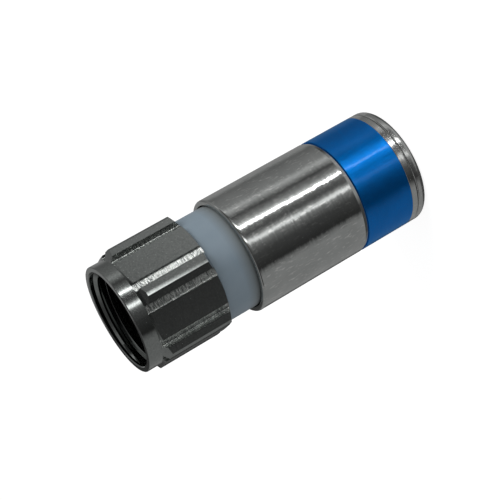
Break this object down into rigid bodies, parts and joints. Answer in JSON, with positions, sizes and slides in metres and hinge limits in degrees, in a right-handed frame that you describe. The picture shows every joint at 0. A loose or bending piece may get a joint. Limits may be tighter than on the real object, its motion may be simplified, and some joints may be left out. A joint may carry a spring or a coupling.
{
  "type": "coaxial compression connector",
  "caption": "Coaxial compression connector with a free-turning fluted hex nut, plastic body, sliding bright sleeve, blue band and rounded end ring, shown open.",
  "frame": {"origin": "centre of the rear face, on the connector's axis, where the cable goes in", "axes": "+Z along the axis towards the coupling nut, +X square to one flat of the nut"},
  "size_m": [0.0116, 0.0126, 0.0308],
  "materials": {
    "nut_nickel": "dark nickel plating on brass, semi-bright, with milling marks in the flutes",
    "post_nickel": "nickel plating on brass, bright",
    "seal_rubber": "black, matte",
    "body_plastic": "moulded, blue-grey, satin",
    "clamp_plastic": "moulded, natural white, satin",
    "sleeve_nickel": "nickel plating on brass, bright, with fine turning marks",
    "band_blue": "blue metallic, satin",
    "end_nickel": "nickel plating on brass, bright, turned"
  },
  "bodies": {
    "front": {"plastic_body": "body_plastic", "centre_post": "post_nickel", "nut_seal": "seal_rubber"},
    "nut": {"coupling_nut": "nut_nickel"},
    "sleeve": {"compression_sleeve": "sleeve_nickel", "colour_band": "band_blue", "end_ring": "end_nickel", "clamping_ring": "clamp_plastic"}
  },
  "joints": [
    {"name": "nut_spin", "type": "hinge", "parent": "front", "child": "nut", "pos_m": [0, 0, 0.0235], "axis": [0, 0, 1], "continuous": true},
    {"name": "sleeve_slide", "type": "slide", "parent": "front", "child": "sleeve", "axis": [0, 0, 1], "range_m": [0, 0.003]}
  ]
}
